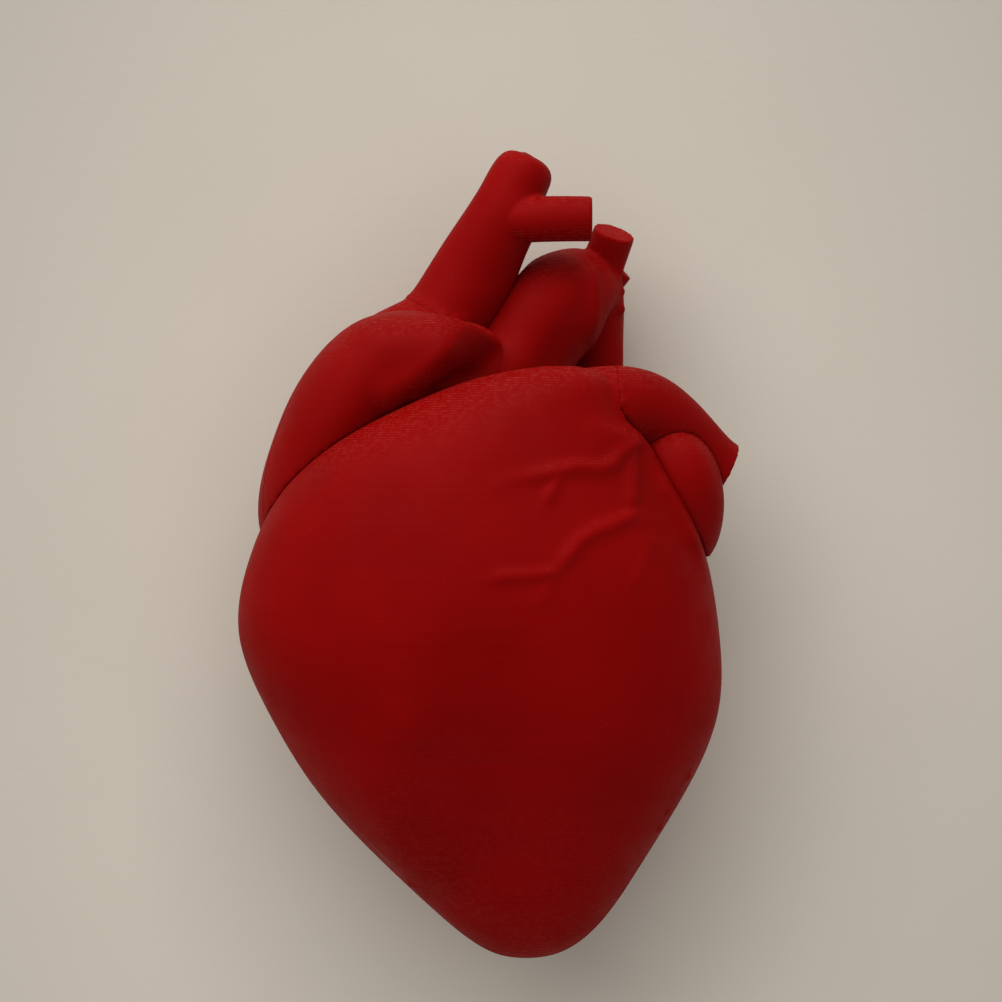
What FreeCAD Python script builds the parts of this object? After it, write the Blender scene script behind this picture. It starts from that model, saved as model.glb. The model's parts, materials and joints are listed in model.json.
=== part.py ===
import FreeCAD, Part
import math
import os

from FreeCAD import Placement, Rotation, Vector

# Take-apart teaching model of a human heart, lying on its back.
# Millimetres.  +X is the viewer's right, +Y runs from the apex to the great vessels, +Z is the front.
# The origin is the middle of the flat it rests on, under the widest part of the ventricles.
# The front of the ventricles and of the right atrium lift off at the split plane, the great
# vessels pull out of their sockets, and magnets and short filament pins hold the halves together.

# ---------------------------------------------------------------------------- driving dimensions

# Ventricles: rise above the station below, centre x, half width, centre z from the split, half depth
VENTRICLES = (
    ("tip", -48.6, 4.5, 2.0, -2.5, 1.6),
    ("apex", 1.9, 4.6, 6.6, -2.5, 5.9),
    ("apex_shoulder", 4.0, 4.1, 10.9, -2.4, 9.7),
    ("low_cone", 6.0, 2.9, 16.0, -2.2, 13.5),
    ("mid_cone", 8.4, 1.6, 22.3, -1.6, 17.0),
    ("high_cone", 9.6, 0.6, 27.1, -0.8, 19.5),
    ("widest", 9.6, -1.1, 28.8, -0.2, 20.5),
    ("shoulder", 8.4, -1.2, 27.4, 0.4, 20.2),
    ("groove", 6.6, -1.0, 24.6, 1.6, 18.2),
    ("base", 6.0, -0.1, 19.9, 3.6, 15.0),
    ("low_conus", 5.1, 2.8, 13.7, 5.8, 10.8),
    ("conus", 3.3, 6.0, 8.7, 7.3, 6.9),
    ("high_conus", 1.3, 7.7, 5.0, 7.7, 4.2),
    ("conus_tip", 0.5, 8.4, 2.2, 7.8, 1.9),
)
# Right atrium with its auricle: x, y above the groove, centre z from the split, half width, half depth
RIGHT_ATRIUM = (
    ("foot", -20.4, -8.6, -6.0, 2.2, 3.4),
    ("low", -20.6, -5.6, -5.6, 5.3, 7.2),
    ("side", -21.6, -0.4, -5.0, 6.4, 9.6),
    ("flank", -20.0, 5.4, -4.2, 6.6, 10.8),
    ("shoulder", -16.4, 12.2, -3.0, 6.9, 11.2),
    ("crown", -11.9, 16.9, -1.6, 6.4, 10.8),
    ("crest", -7.4, 18.4, 1.4, 4.9, 9.0),
    ("ear", -3.8, 19.0, 4.0, 3.2, 5.0),
    ("ear_tip", -0.9, 19.1, 2.6, 1.9, 2.4),
    ("ear_end", 0.6, 18.9, 2.2, 0.8, 1.2),
)
# The low slope of the right auricle that dips under the ventricle's edge, measured like the atrium
AURICLE_SLOPE = (
    ("foot", -10.0, 15.0, -0.8, 4.6, 7.0),
    ("middle", -5.8, 17.1, 0.4, 4.5, 5.0),
    ("side", -2.4, 17.8, 0.3, 4.2, 4.3),
    ("tip", 0.2, 17.6, 0.2, 3.1, 3.2),
    ("end", 1.5, 17.3, 0.8, 1.2, 1.4),
)
# Left auricle: x, y above the groove, centre z from the split, half width, half depth
LEFT_AURICLE = (
    ("top", 20.4, 8.3, 3.4, 1.3, 1.8),
    ("crown", 21.5, 6.6, 2.9, 3.6, 4.9),
    ("belly", 23.6, 2.2, 1.6, 4.4, 6.6),
    ("lobe", 24.6, -1.6, 0.8, 3.7, 5.8),
    ("tail", 25.2, -4.9, 0.2, 2.3, 3.8),
    ("end", 25.4, -6.6, 0.0, 0.9, 1.4),
)
# Vessels: x, y above the groove, centre z from the split, radius
# The first ring of the vena cava and of the aorta, and the last of the caval collar, is a socket's mouth.
SUPERIOR_VENA_CAVA = (
    ("low", -3.5, 25.2, -5.6, 5.3),
    ("mid", -0.8, 30.0, -4.6, 4.95),
    ("high", 1.4, 34.0, -3.2, 4.45),
    ("neck", 2.7, 36.6, -2.7, 4.15),
    ("top", 4.0, 39.8, -2.6, 3.7),
    ("brim", 4.7, 41.1, -2.6, 3.3),
    ("dome", 5.0, 41.9, -2.6, 2.3),
    ("end", 5.2, 42.2, -2.6, 0.9),
)
CAVAL_COLLAR = (
    ("deep", -8.9, 19.2, -6.0, 6.9),
    ("flare", -7.7, 20.2, -5.9, 6.6),
    ("neck", -6.6, 21.2, -5.8, 6.1),
)
BRACHIOCEPHALIC_VEIN = (
    ("root", 2.4, 34.3, -1.8, 2.8),
    ("bend", 7.0, 34.3, 0.0, 2.75),
    ("end", 12.5, 34.3, 0.1, 2.7),
)
AORTA = (
    ("root", 2.4, 13.8, -5.9, 4.85),
    ("rising", 4.8, 19.2, -8.0, 6.0),
    ("shoulder", 8.6, 24.5, -9.2, 6.3),
    ("arch", 11.1, 26.1, -11.2, 5.7),
    ("back", 12.5, 24.8, -13.2, 4.6),
    ("falling", 13.2, 20.6, -14.0, 3.7),
    ("end", 13.3, 14.8, -14.4, 3.3),
)
BRACHIOCEPHALIC_ARTERY = (("root", 13.2, 26.9, -13.0, 2.7), ("end", 15.6, 33.7, -9.8, 2.6))
LEFT_CAROTID = (("root", 13.4, 25.8, -14.6, 1.9), ("end", 16.5, 29.4, -13.6, 1.7))
LEFT_SUBCLAVIAN = (("root", 13.4, 23.4, -15.0, 1.8), ("end", 16.0, 25.8, -16.2, 1.5))
PULMONARY_TRUNK = (
    ("seat", 11.6, 11.1, 6.6, 5.0),
    ("root", 14.6, 11.7, 5.8, 4.7),
    ("crown", 18.0, 11.5, 4.2, 4.5),
    ("bend", 21.4, 9.8, 1.9, 4.2),
    ("falling", 24.5, 7.0, -0.9, 4.05),
    ("cut", 26.9, 4.7, -2.5, 4.0),
    ("end", 28.4, 3.9, -2.8, 3.9),
)
RIGHT_PULMONARY_ARTERY = (
    ("root", 8.6, 12.6, -14.0, 3.3),
    ("mid", -2.0, 14.2, -14.6, 3.2),
    ("end", -14.6, 15.2, -14.6, 3.0),
)
UPPER_RIGHT_PULMONARY_VEIN = (("root", -1.0, 7.6, -13.4, 2.4), ("end", -14.0, 9.8, -16.4, 2.2))
LOWER_RIGHT_PULMONARY_VEIN = (("root", 0.0, 1.8, -14.6, 2.3), ("end", -13.0, 0.6, -17.2, 2.1))
UPPER_LEFT_PULMONARY_VEIN = (("root", 14.0, 6.2, -12.8, 2.3), ("end", 24.6, 7.0, -15.6, 2.1))
LOWER_LEFT_PULMONARY_VEIN = (("root", 14.0, 1.4, -14.6, 2.3), ("end", 23.6, -0.6, -17.0, 2.1))
INFERIOR_VENA_CAVA = (("root", -17.8, 2.4, -11.4, 3.4), ("end", -17.6, -9.9, -16.2, 3.3))

SIZES = (
    # whole model
    ("split_height", 20.0, "height of the split plane above the table"),
    ("slide_gap", 0.3, "gap between pieces that come apart"),
    ("seam_gap", 0.05, "gap in a flat seam between a vessel and its socket's mouth"),
    ("socket_gap", 0.08, "radial gap of a spigot or pin in its hole"),
    # ventricle chambers
    ("left_wall", 6.0, "left ventricle wall"),
    ("right_wall", 2.8, "right ventricle wall"),
    ("septum_thickness", 4.8, "wall between the ventricles"),
    ("septum_x", 0.3, "middle of the septum beside the origin"),
    ("septum_lean", 0.05, "sideways lean of the septum per millimetre of height"),
    ("chamber_share", 0.80, "depth of an off-centre chamber as a share of the full depth"),
    ("chamber_end", 2.6, "length of a chamber's rounded end"),
    ("chamber_end_share", 0.62, "size of a chamber's last ring as a share of the one before"),
    # atria
    ("right_atrium_wall", 2.0, "wall of the right atrium"),
    ("left_atrium_x", 7.0, "left atrium centre, across"),
    ("left_atrium_rise", 4.6, "left atrium centre above the groove"),
    ("left_atrium_z", -11.8, "left atrium centre from the split"),
    ("left_atrium_half_width", 13.6, "left atrium, half width"),
    ("left_atrium_half_height", 7.6, "left atrium, half height"),
    ("left_atrium_half_depth", 7.2, "left atrium, half depth"),
    ("left_atrium_wall", 2.2, "wall of the left atrium"),
    # openings between the chambers
    ("tricuspid_x", -14.2, "tricuspid valve, across"),
    ("tricuspid_z", -5.8, "tricuspid valve from the split"),
    ("mitral_x", 10.6, "mitral valve, across"),
    ("mitral_z", -8.2, "mitral valve from the split"),
    ("inlet_rise", -1.2, "inlet valve rings above the groove"),
    ("inlet_radius", 4.6, "radius of an inlet valve's seat"),
    ("inlet_reach", 9.0, "reach of an inlet opening each way from its ring"),
    ("outlet_radius", 2.4, "radius of the two outlet channels"),
    ("outflow_reach", 16.2, "length of the channel from the left chamber to the aortic socket"),
    ("pulmonary_reach", 24.5, "length of the channel from the right chamber to the trunk's socket"),
    # valves
    ("ring_wall", 0.8, "wall of a valve ring"),
    ("ring_length", 1.6, "length of a valve ring"),
    ("leaflet_thickness", 0.5, "thickness of a valve leaflet"),
    ("leaflet_length", 4.4, "length of an inlet valve's leaflets"),
    ("leaflet_tip_radius", 1.7, "radius of the opening between the leaflet tips"),
    ("leaflet_slit", 9.0, "angle left open between two leaflets"),
    ("aortic_valve_depth", 5.0, "foot of the aortic valve below its socket's floor"),
    ("pulmonary_valve_depth", 4.4, "foot of the pulmonary valve below its socket's floor"),
    ("cusp_length", 2.0, "length of an outlet valve's cusps"),
    ("cusp_tip_radius", 0.6, "radius of the opening between the cusp tips"),
    # papillary muscles
    ("papillary_radius", 2.2, "radius of a papillary muscle at its foot"),
    ("papillary_tip_radius", 1.0, "radius of a papillary muscle at its tip"),
    ("papillary_length", 16.0, "length of a papillary muscle"),
    ("papillary_rise", -13.6, "tips of the papillary muscles above the groove"),
    ("papillary_spread", 3.2, "sideways distance of a papillary tip from its valve's axis"),
    ("left_papillary_z", 2.0, "left papillary tips from their valve's axis"),
    ("right_papillary_z", 0.0, "right papillary tips from their valve's axis"),
    ("cord_radius", 0.4, "radius of a tendinous cord"),
    ("cord_gap", 0.6, "gap between a tendinous cord and the leaflet tips"),
    ("cord_root", 0.8, "length of a tendinous cord inside its muscle"),
    # vessel sockets: the floor of each socket
    ("spigot_radius", 2.9, "radius of the spigots on the great vessels"),
    ("spigot_length", 4.0, "depth of a socket that stands in a boss"),
    ("aortic_boss_wall", 1.8, "wall round the aorta's socket"),
    ("caval_boss_wall", 1.8, "wall round the vena cava's socket"),
    ("aortic_mouth_radius", 4.7, "radius of the aorta where it meets its socket"),
    ("caval_mouth_radius", 5.6, "radius of the vena cava where it meets its collar"),
    ("socket_floor", 1.4, "floor under a socket that stands in a boss"),
    ("spigot_root", 3.0, "length of a spigot inside its vessel"),
    ("hole_overrun", 2.0, "length of a socket's hole beyond its spigot"),
    ("aortic_socket_x", -2.0, "floor of the aorta's socket, across"),
    ("aortic_socket_rise", 6.8, "floor of the aorta's socket above the groove"),
    ("aortic_socket_z", -5.5, "aorta's socket from the split"),
    ("caval_socket_x", -7.2, "floor of the vena cava's socket, across"),
    ("caval_socket_rise", 18.9, "floor of the vena cava's socket above the groove"),
    ("caval_socket_z", -5.8, "vena cava's socket from the split"),
    ("pulmonary_socket_x", 10.4, "floor of the trunk's socket, across"),
    ("pulmonary_socket_rise", 10.6, "floor of the trunk's socket above the groove"),
    ("pulmonary_socket_z", 4.4, "trunk's socket from the split"),
    ("pulmonary_spigot_length", 5.1, "depth of the trunk's socket in the solid conus"),
    # magnets and pins
    ("magnet_radius", 1.5, "radius of a disc magnet"),
    ("magnet_thickness", 2.0, "thickness of a disc magnet"),
    ("magnet_inset", 0.05, "depth of a magnet's face below the split plane"),
    ("apex_magnet_x", 3.8, "apex magnet, across"),
    ("apex_magnet_rise", -48.6, "apex magnet above the groove"),
    ("wall_magnet_x", 24.6, "magnet in the left ventricle's wall, across"),
    ("wall_magnet_rise", -22.0, "magnet in the left ventricle's wall above the groove"),
    ("left_base_magnet_x", -20.2, "base magnet on the right atrium's side, across"),
    ("left_base_magnet_rise", 1.4, "base magnet on the right atrium's side above the groove"),
    ("right_base_magnet_x", 18.8, "base magnet on the left auricle's side, across"),
    ("right_base_magnet_rise", 1.2, "base magnet on the left auricle's side above the groove"),
    ("pin_radius", 0.875, "radius of the filament pins"),
    ("pin_depth", 3.0, "depth of a pin in the back half"),
    ("pin_reach", 2.2, "reach of a pin into the front half"),
    ("pin_tip_gap", 0.3, "free depth past the end of a pin"),
    ("septum_pin_rise", -31.0, "septum pin above the groove"),
    ("base_pin_x", 14.6, "base pin, across"),
    ("base_pin_rise", 5.2, "base pin above the groove"),
)

STATION_FIELDS = {
    "ventricle": ("rise", "centre_x", "half_width", "centre_z", "half_depth"),
    "flat": ("x", "rise", "z", "half_width", "half_depth"),
    "round": ("x", "rise", "z", "radius"),
}
ORGANS = (
    ("ventricles", "ventricle", VENTRICLES),
    ("right_atrium", "flat", RIGHT_ATRIUM),
    ("auricle_slope", "flat", AURICLE_SLOPE),
    ("left_auricle", "flat", LEFT_AURICLE),
    ("superior_vena_cava", "round", SUPERIOR_VENA_CAVA),
    ("caval_collar", "round", CAVAL_COLLAR),
    ("brachiocephalic_vein", "round", BRACHIOCEPHALIC_VEIN),
    ("aorta", "round", AORTA),
    ("brachiocephalic_artery", "round", BRACHIOCEPHALIC_ARTERY),
    ("left_carotid", "round", LEFT_CAROTID),
    ("left_subclavian", "round", LEFT_SUBCLAVIAN),
    ("pulmonary_trunk", "round", PULMONARY_TRUNK),
    ("right_pulmonary_artery", "round", RIGHT_PULMONARY_ARTERY),
    ("upper_right_pulmonary_vein", "round", UPPER_RIGHT_PULMONARY_VEIN),
    ("lower_right_pulmonary_vein", "round", LOWER_RIGHT_PULMONARY_VEIN),
    ("upper_left_pulmonary_vein", "round", UPPER_LEFT_PULMONARY_VEIN),
    ("lower_left_pulmonary_vein", "round", LOWER_LEFT_PULMONARY_VEIN),
    ("inferior_vena_cava", "round", INFERIOR_VENA_CAVA),
)

ACROSS = Vector(1, 0, 0)
UP = Vector(0, 1, 0)
FRONT = Vector(0, 0, 1)
REACH = 150  # half size of the blocks that stand for everything on one side of a plane

doc = FreeCAD.newDocument("heart")
sheet = doc.addObject("Spreadsheet::Sheet", "Sizes")


# ---------------------------------------------------------------------------- spreadsheet

def fill_sheet():
    rows = list(SIZES)
    for organ, kind, stations in ORGANS:
        for station in stations:
            for field, value in zip(STATION_FIELDS[kind], station[1:]):
                alias = f"{organ}_{station[0]}_{field}"
                rows.append((alias, value, alias.replace("_", " ")))
    for row, (alias, value, note) in enumerate(rows, start=1):
        sheet.set(f"A{row}", note)
        sheet.set(f"B{row}", str(value))
        sheet.setAlias(f"B{row}", alias)
    doc.recompute()


def size(alias):
    return float(sheet.get(alias))


def bind(thing, **expressions):
    """Binds properties of a document object to expressions over the sheet's cells."""
    for name, expression in expressions.items():
        thing.setExpression(name, expression)


def cell(alias):
    return f"Sizes.{alias}"


def rises_up_to(station):
    """Names of the rises that add up to a ventricle station's height."""
    names = [entry[0] for entry in VENTRICLES]
    return [f"ventricles_{name}_rise" for name in names[: names.index(station) + 1]]


def ventricle_height(station):
    return " + ".join(cell(rise) for rise in rises_up_to(station))


GROOVE = f"({ventricle_height('groove')})"


def groove_height():
    return sum(size(rise) for rise in rises_up_to("groove"))


def above_groove(alias):
    return f"{GROOVE} + {cell(alias)}"


def from_split(alias):
    return f"{cell('split_height')} + {cell(alias)}"


# ---------------------------------------------------------------------------- rings and lofts

def put(thing, centre, rotation=None):
    """Places a document object at a centre of three expressions."""
    if rotation is not None:
        thing.Placement = Placement(Vector(), rotation)
    for axis, expression in zip("xyz", centre):
        thing.setExpression(f"Placement.Base.{axis}", expression)


def ring(name, centre, major, minor, rotation):
    ellipse = doc.addObject("Part::Ellipse", name)
    put(ellipse, centre, rotation)
    bind(ellipse, MajorRadius=major, MinorRadius=minor)
    return ellipse


def loft(name, rings):
    body = doc.addObject("Part::Loft", name)
    body.Sections = rings
    body.Solid = True
    doc.recompute([*rings, body])
    return body


def headings(points):
    """Direction of a path at each of its points."""
    found = []
    for i in range(len(points)):
        step = points[min(i + 1, len(points) - 1)] - points[max(i - 1, 0)]
        found.append(step.normalize())
    return found


def facing(normal, across):
    """Rotation that turns a ring's axis along normal and its major radius near across."""
    side = across - normal * across.dot(normal)
    side.normalize()
    return Rotation(side, normal.cross(side), normal, "ZXY")


def station_point(key):
    return Vector(
        size(f"{key}_x"), groove_height() + size(f"{key}_rise"), size("split_height") + size(f"{key}_z")
    )


def station_centre(key):
    return cell(f"{key}_x"), above_groove(f"{key}_rise"), from_split(f"{key}_z")


def ventricle_form(name, grow=""):
    rings = []
    for station, *_ in VENTRICLES:
        key = f"ventricles_{station}"
        centre = (cell(f"{key}_centre_x"), ventricle_height(station), from_split(f"{key}_centre_z"))
        half_width, half_depth = cell(f"{key}_half_width"), cell(f"{key}_half_depth")
        rotation = facing(UP, ACROSS)
        rings.append(ring(f"{name}_{station}", centre, half_width + grow, half_depth + grow, rotation))
    return loft(name, rings)


def lobe_form(name, organ, stations, grow="", keep=slice(None)):
    """A lobe whose rings stand upright across a level path, deeper than they are wide."""
    keys = [f"{organ}_{station[0]}" for station in stations]
    flat = [station_point(key) for key in keys]
    for point in flat:
        point.z = 0
    rings = []
    for key, heading in list(zip(keys, headings(flat)))[keep]:
        half_width, half_depth = cell(f"{key}_half_width") + grow, cell(f"{key}_half_depth") + grow
        turn = facing(heading, FRONT)
        rings.append(ring(f"{name}_{key}", station_centre(key), half_depth, half_width, turn))
    return loft(name, rings)


def tube_form(name, organ, stations, grow="", mouth=None, pull=None):
    """A vessel: round rings square to its path, their seams carried along without twist.
    A mouth, given as (centre, direction, radius), is one more ring before the others.
    With a pull, the path is a collar that leads up to the mouth, and its rings are all square to the pull."""
    keys = [f"{organ}_{station[0]}" for station in stations]
    across = Vector(1, 0, 0.2)
    turns = headings([station_point(key) for key in keys]) if pull is None else [pull] * len(keys)
    places = [
        (key, station_centre(key), turn, cell(f"{key}_radius") + grow) for key, turn in zip(keys, turns)
    ]
    if mouth is not None:
        places.insert(0 if pull is None else len(places), ("mouth", *mouth))
    rings = []
    for tag, centre, heading, radius in places:
        rotation = facing(heading, across)
        across = rotation.multVec(ACROSS)
        rings.append(ring(f"{name}_{tag}", centre, radius, radius, rotation))
    return loft(name, rings)


# ---------------------------------------------------------------------------- booleans and rods

def boolean(kind, name, **inputs):
    """A boolean whose faces stay as they are cut: merging them can spoil the freeform ones."""
    result = doc.addObject(f"Part::{kind}", name)
    result.Refine = False
    for key, value in inputs.items():
        setattr(result, key, value)
    doc.recompute([result])
    return result


def cut(name, base, *tools):
    """base without each of the tools."""
    for count, tool in enumerate(tools, start=1):
        step = name if count == len(tools) else f"{name}_cut_{count}"
        base = boolean("Cut", step, Base=base, Tool=tool)
    return base


def common(name, base, tool):
    return boolean("Common", name, Base=base, Tool=tool)


def fuse(name, *shapes):
    return boolean("MultiFuse", name, Shapes=list(shapes))


def group(name, *shapes):
    """Separate solids that share a node."""
    result = doc.addObject("Part::Compound", name)
    result.Links = list(shapes)
    doc.recompute([result])
    return result


def along(centre, direction, shift):
    """A centre of three expressions, moved along a direction by an expression."""
    return tuple(f"{at} + ({step}) * ({shift})" for at, step in zip(centre, direction))


def rod(name, foot, direction, radius, height):
    cylinder = doc.addObject("Part::Cylinder", name)
    put(cylinder, foot, Rotation(FRONT, direction))
    bind(cylinder, Radius=radius, Height=height)
    doc.recompute([cylinder])
    return cylinder


def taper(name, foot, direction, foot_radius, tip_radius, height, angle="360", turn=0):
    cone = doc.addObject("Part::Cone", name)
    put(cone, foot, Rotation(FRONT, direction).multiply(Rotation(FRONT, turn)))
    bind(cone, Radius1=foot_radius, Radius2=tip_radius, Height=height, Angle=f"({angle}) * 1 deg")
    doc.recompute([cone])
    return cone


def block(name, low, length, width, height):
    box = doc.addObject("Part::Box", name)
    put(box, low)
    bind(box, Length=length, Width=width, Height=height)
    doc.recompute([box])
    return box


def space(name, base_z):
    """A block that reaches past the whole model, standing on base_z."""
    return block(name, (f"-{REACH}", f"-{REACH}", base_z), f"2 * {REACH}", f"2 * {REACH}", str(REACH))


def behind_and_in_front(name, form):
    """The two parts of a form, behind and in front of the split plane."""
    return common(f"{name}_behind", form, behind_split), common(f"{name}_in_front", form, before_split)


# ---------------------------------------------------------------------------- chambers

def chamber(name, stations, left_edge, right_edge, wall):
    """A ventricle chamber between two edges, given as expressions of a station's name."""

    def chamber_ring(tag, height, station, share="1"):
        left, right = left_edge(station), right_edge(station)
        centre = (f"(({left}) + ({right})) / 2", height, from_split(f"ventricles_{station}_centre_z"))
        full_depth = cell(f"ventricles_{station}_half_depth")
        half_depth = f"({full_depth} * {cell('chamber_share')} - {cell(wall)}) * {share}"
        half_width = f"(({right}) - ({left})) / 2 * {share}"
        minor = f"min({half_width}; {half_depth})"
        return ring(f"{name}_{tag}", centre, half_depth, minor, facing(UP, FRONT))

    end, share = cell("chamber_end"), cell("chamber_end_share")
    first, last = stations[0], stations[-1]
    return loft(
        name,
        [
            chamber_ring("foot", f"{ventricle_height(first)} - {end}", first, share),
            *(chamber_ring(station, ventricle_height(station), station) for station in stations),
            chamber_ring("head", f"{ventricle_height(last)} + {end}", last, share),
        ],
    )


def outer_edge(station, side):
    key = f"ventricles_{station}"
    return f"{cell(key + '_centre_x')} {side} {cell(key + '_half_width')}"


def septum_face(height, side):
    middle = f"{cell('septum_x')} + {cell('septum_lean')} * ({height})"
    return f"{middle} {side} {cell('septum_thickness')} / 2"


# Rings of an egg, each with its place along the egg as a share of the half length
EGG_RINGS = (("left", -0.94), ("left_side", -0.6), ("middle", 0.0), ("right_side", 0.6), ("right", 0.94))


def left_atrium_form(name, wall=""):
    """The left atrium's egg: a unit ball stretched to its three half sizes."""
    rings = []
    for tag, sine in EGG_RINGS:
        shrink = round(math.sqrt(1 - sine * sine), 4)
        centre = (
            f"{cell('left_atrium_x')} + ({sine}) * ({cell('left_atrium_half_width')}{wall})",
            above_groove("left_atrium_rise"),
            from_split("left_atrium_z"),
        )
        major = f"({cell('left_atrium_half_height')}{wall}) * {shrink}"
        minor = f"({cell('left_atrium_half_depth')}{wall}) * {shrink}"
        rings.append(ring(f"{name}_{tag}", centre, major, minor, facing(ACROSS, UP)))
    return loft(name, rings)


# ---------------------------------------------------------------------------- valves and muscles

def valve(name, centre, direction, radius, leaflets, length, tip_radius):
    """A ring whose leaflets lean in along direction, one for each mark, with slits between them."""
    outer = f"{cell(radius)}"
    inner = f"{cell(radius)} - {cell('ring_wall')}"
    thickness, slit = cell("leaflet_thickness"), cell("leaflet_slit")
    length, tip_radius = cell(length), cell(tip_radius)
    ring_body = rod(f"{name}_ring_body", centre, direction, outer, cell("ring_length"))
    bore = rod(f"{name}_bore", centre, direction, inner, cell("ring_length"))
    hoop = cut(f"{name}_hoop", ring_body, bore)
    foot = along(centre, direction, f"{cell('ring_length')} / 2")
    hollow = taper(f"{name}_hollow", foot, direction, inner, tip_radius, length)
    shells = []
    share = 360 / len(leaflets)
    for count, _ in enumerate(leaflets):
        shells.append(
            taper(f"{name}_cone_{count}", foot, direction, f"{inner} + {thickness}",
                  f"{tip_radius} + {thickness}", length, f"{share} - {slit}", turn=count * share)
        )
    return fuse(name, hoop, cut(f"{name}_leaflets", fuse(f"{name}_cones", *shells), hollow))


def muscles(side_name, valve_name, chamber_form, lean_back):
    """Two papillary muscles below an inlet valve, each with two tendinous cords."""
    name = f"{side_name}_papillary_muscles"
    pieces = []
    tip_height = above_groove("papillary_rise")
    below_ring = f"{cell('ring_length')} / 2 + {cell('leaflet_length')} + {cell('cord_gap')}"
    cord_top = f"{above_groove('inlet_rise')} - ({below_ring})"
    for side in (-1, 1):
        tip = (
            f"{cell(valve_name + '_x')} + ({side}) * {cell('papillary_spread')}",
            tip_height,
            f"{from_split(valve_name + '_z')} + {cell(side_name + '_papillary_z')}",
        )
        lean = Vector(0.1 * side, -1, -lean_back).normalize()
        foot = along(tip, lean, cell("papillary_length"))
        muscle = taper(f"{name}_muscle_{side + 1}", foot, lean * -1, cell("papillary_radius"),
                       cell("papillary_tip_radius"), cell("papillary_length"))
        cords = []
        for cord_side in (-1, 1):
            cord_lean = Vector(-0.16 * side + 0.07 * cord_side, 1, -0.05).normalize()
            sunk = along(tip, cord_lean, f"-{cell('cord_root')}")
            length = f"({cord_top} - ({tip_height})) / {cord_lean.y} + {cell('cord_root')}"
            cords.append(rod(f"{name}_cord_{side + 1}_{cord_side + 1}", sunk, cord_lean,
                             cell("cord_radius"), length))
        pieces.append(fuse(f"{name}_{side + 1}", muscle, *cords))
    return common(name, group(f"{name}_pair", *pieces), chamber_form)


# ---------------------------------------------------------------------------- the outer forms

fill_sheet()
behind_split = space("behind_split", f"{cell('split_height')} - {REACH}")
before_split = space("before_split", cell("split_height"))
below_table = space("below_table", f"-{REACH}")
GAP = f" + {cell('slide_gap')}"
LEAFLETS = {"tricuspid": "III", "mitral": "II"}
CUSPS = "III"

ventricle_body = ventricle_form("ventricle_body")
ventricle_clear = ventricle_form("ventricle_clear", GAP)
atrium_body = lobe_form("atrium_body", "right_atrium", RIGHT_ATRIUM)
atrium_clear = lobe_form("atrium_clear", "right_atrium", RIGHT_ATRIUM, GAP)
hollow_rings = slice(2, 8)  # from the atrium's side to its ear, where it is wide enough
atrium_hollow = lobe_form(
    "atrium_hollow", "right_atrium", RIGHT_ATRIUM, f" - {cell('right_atrium_wall')}", keep=hollow_rings
)
left_atrium_body = left_atrium_form("left_atrium_body")
left_atrium_hollow = left_atrium_form("left_atrium_hollow", f" - {cell('left_atrium_wall')}")

left_chamber = chamber(
    "left_chamber",
    ("low_cone", "mid_cone", "high_cone", "widest", "shoulder"),
    lambda station: septum_face(ventricle_height(station), "+"),
    lambda station: f"{outer_edge(station, '+')} - {cell('left_wall')}",
    "left_wall",
)
right_chamber = chamber(
    "right_chamber",
    ("mid_cone", "high_cone", "widest", "shoulder"),
    lambda station: f"{outer_edge(station, '-')} + {cell('right_wall')}",
    lambda station: septum_face(ventricle_height(station), "-"),
    "right_wall",
)

# ---------------------------------------------------------------------------- openings between chambers

tunnels = {}
for inlet in ("tricuspid", "mitral"):
    ring_centre = (cell(f"{inlet}_x"), above_groove("inlet_rise"), from_split(f"{inlet}_z"))
    start = along(ring_centre, UP, f"-{cell('inlet_reach')}")
    tunnels[inlet] = rod(f"{inlet}_tunnel", start, UP, cell("inlet_radius"), f"2 * {cell('inlet_reach')}")

# Directions: each vessel pulls out along its own, and blood flows from a chamber to its socket's floor
CAVAL_PULL = Vector(0.5, 0.866, 0).normalize()
AORTIC_PULL = Vector(0.55, 0.835, 0).normalize()
PULMONARY_PULL = Vector(1, 0.08, 0).normalize()
AORTIC_FLOW = Vector(-7.4, 14.1, -2.7).normalize()
PULMONARY_FLOW = Vector(18.9, 16.3, -1.1).normalize()


def socket(vessel, pull, depth):
    """The hole and the spigot of a vessel that pulls out along pull."""
    floor = station_centre(f"{vessel}_socket")
    hole_radius = f"{cell('spigot_radius')} + {cell('socket_gap')}"
    length = f"{depth} + {cell('spigot_root')}"
    hole = rod(f"{vessel}_hole", floor, pull, hole_radius, f"{length} + {cell('hole_overrun')}")
    spigot_foot = along(floor, pull, cell("slide_gap"))
    spigot = rod(f"{vessel}_spigot", spigot_foot, pull, cell("spigot_radius"), length)
    return hole, spigot


def boss(vessel, pull):
    """The collar round a vessel's socket."""
    foot = along(station_centre(f"{vessel}_socket"), pull, f"-{cell('socket_floor')}")
    radius = f"{cell('spigot_radius')} + {cell(f'{vessel}_boss_wall')}"
    return rod(f"{vessel}_boss", foot, pull, radius, f"{cell('spigot_length')} + {cell('socket_floor')}")


def mouth(vessel, pull, gap=""):
    """The rim of a vessel's socket as a ring: centre, direction and radius."""
    centre = along(station_centre(f"{vessel}_socket"), pull, f"{cell('spigot_length')}{gap}")
    return centre, pull, cell(f"{vessel}_mouth_radius")


def channel(vessel, flow, reach):
    """The passage from a ventricle's chamber to the floor of a vessel's socket."""
    floor = station_centre(f"{vessel}_socket")
    return rod(f"{vessel}_channel", floor, flow * -1, cell("outlet_radius"), cell(reach))


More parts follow.
